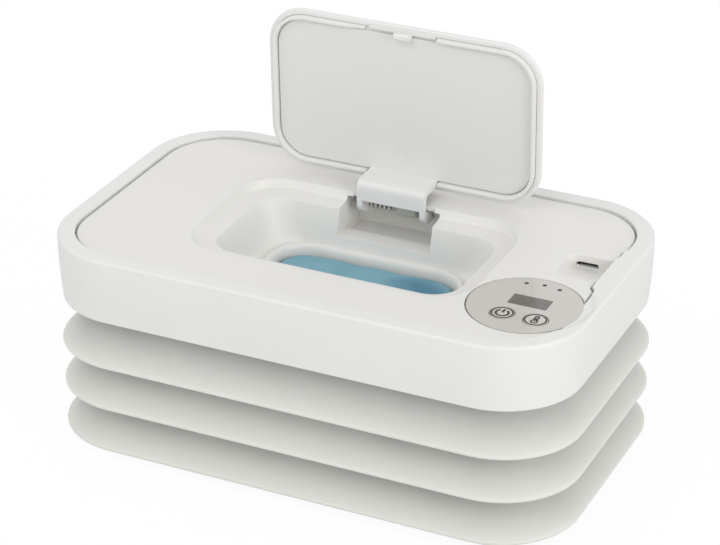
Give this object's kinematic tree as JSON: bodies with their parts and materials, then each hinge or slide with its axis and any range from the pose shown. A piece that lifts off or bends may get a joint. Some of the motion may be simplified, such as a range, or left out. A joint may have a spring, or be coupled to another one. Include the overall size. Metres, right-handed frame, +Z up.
{
  "type": "baby wipe warmer",
  "caption": "Wipe warmer: rigid heater head with hinged lid, dispensing well and round control panel on a soft bellows tub that folds flat.",
  "frame": {"origin": "floor plane under the centre of the footprint", "axes": "+X to the right along the long side, -Y to the front, +Z up"},
  "size_m": [0.22, 0.1346, 0.1606],
  "materials": {
    "white_plastic": "satin moulded",
    "deck_plastic": "satin moulded",
    "soft_silicone": "soft satin",
    "foot_rubber": "matt",
    "steel": "zinc plated",
    "aluminium": "plain",
    "film_polyimide": "film",
    "pad_foam": "felted",
    "dark_plastic": "moulded",
    "board": "laminate",
    "plug_plastic": "moulded",
    "fuse_brass": "plain",
    "lead_red": "sleeve",
    "window": "gloss",
    "cover_plastic": "translucent gloss",
    "key_plastic": "gloss",
    "damper_plastic": "translucent",
    "button_plastic": "moulded",
    "led": "lens"
  },
  "bodies": {
    "base": {"rubber_feet": "foot_rubber", "base_plate": "white_plastic", "base_ring": "white_plastic", "base_screws": "steel", "bellows": "soft_silicone"},
    "collar": {"collar_clamp": "white_plastic", "collar_ring": "white_plastic", "collar_screws": "steel"},
    "housing": {"rim_frame": "white_plastic", "top_deck": "deck_plastic", "under_tray": "white_plastic", "housing_screws": "steel", "heater_plate": "aluminium", "heater_film": "film_polyimide", "insulation_pad": "pad_foam", "thermal_fuse": "fuse_brass", "thermistor": "dark_plastic", "control_board": "board", "control_chip": "dark_plastic", "board_parts": "dark_plastic", "board_plug": "plug_plastic", "tact_switches": "dark_plastic", "switch_buttons": "button_plastic", "display_module": "dark_plastic", "display_window": "window", "status_leds": "led", "light_pipes": "dark_plastic", "panel_cover": "cover_plastic", "usb_socket": "steel", "usb_tongue": "dark_plastic", "inlet_board": "board", "leads": "lead_red", "hinge_pin": "steel", "hinge_damper": "damper_plastic", "hinge_spring": "steel"},
    "power_key": {"power_key": "key_plastic"},
    "temperature_key": {"temperature_key": "key_plastic"},
    "lid": {"hinge_bracket": "white_plastic", "lid_cover": "white_plastic", "lid_panel": "white_plastic", "lid_rib": "white_plastic", "latch_hook": "white_plastic", "pull_tab": "white_plastic"}
  },
  "joints": [
    {"name": "bellows_fold", "type": "slide", "parent": "base", "child": "collar", "axis": [0, 0, 1], "range_m": [-0.034, 0], "deforming": ["bellows"]},
    {"name": "housing_lift", "type": "slide", "parent": "collar", "child": "housing", "axis": [0, 0, 1], "range_m": [0, 0.09]},
    {"name": "lid_hinge", "type": "hinge", "parent": "housing", "child": "lid", "pos_m": [0.0011, 0.0398, 0.0832], "axis": [1, 0, 0], "range_deg": [-3, 88]},
    {"name": "power_press", "type": "slide", "parent": "housing", "child": "power_key", "axis": [0, 0, -1], "range_m": [0, 0.0006], "stiffness_N_per_m": 1500, "springref_m": -0.0004},
    {"name": "temperature_press", "type": "slide", "parent": "housing", "child": "temperature_key", "axis": [0, 0, -1], "range_m": [0, 0.0006], "stiffness_N_per_m": 1500, "springref_m": -0.0004}
  ]
}
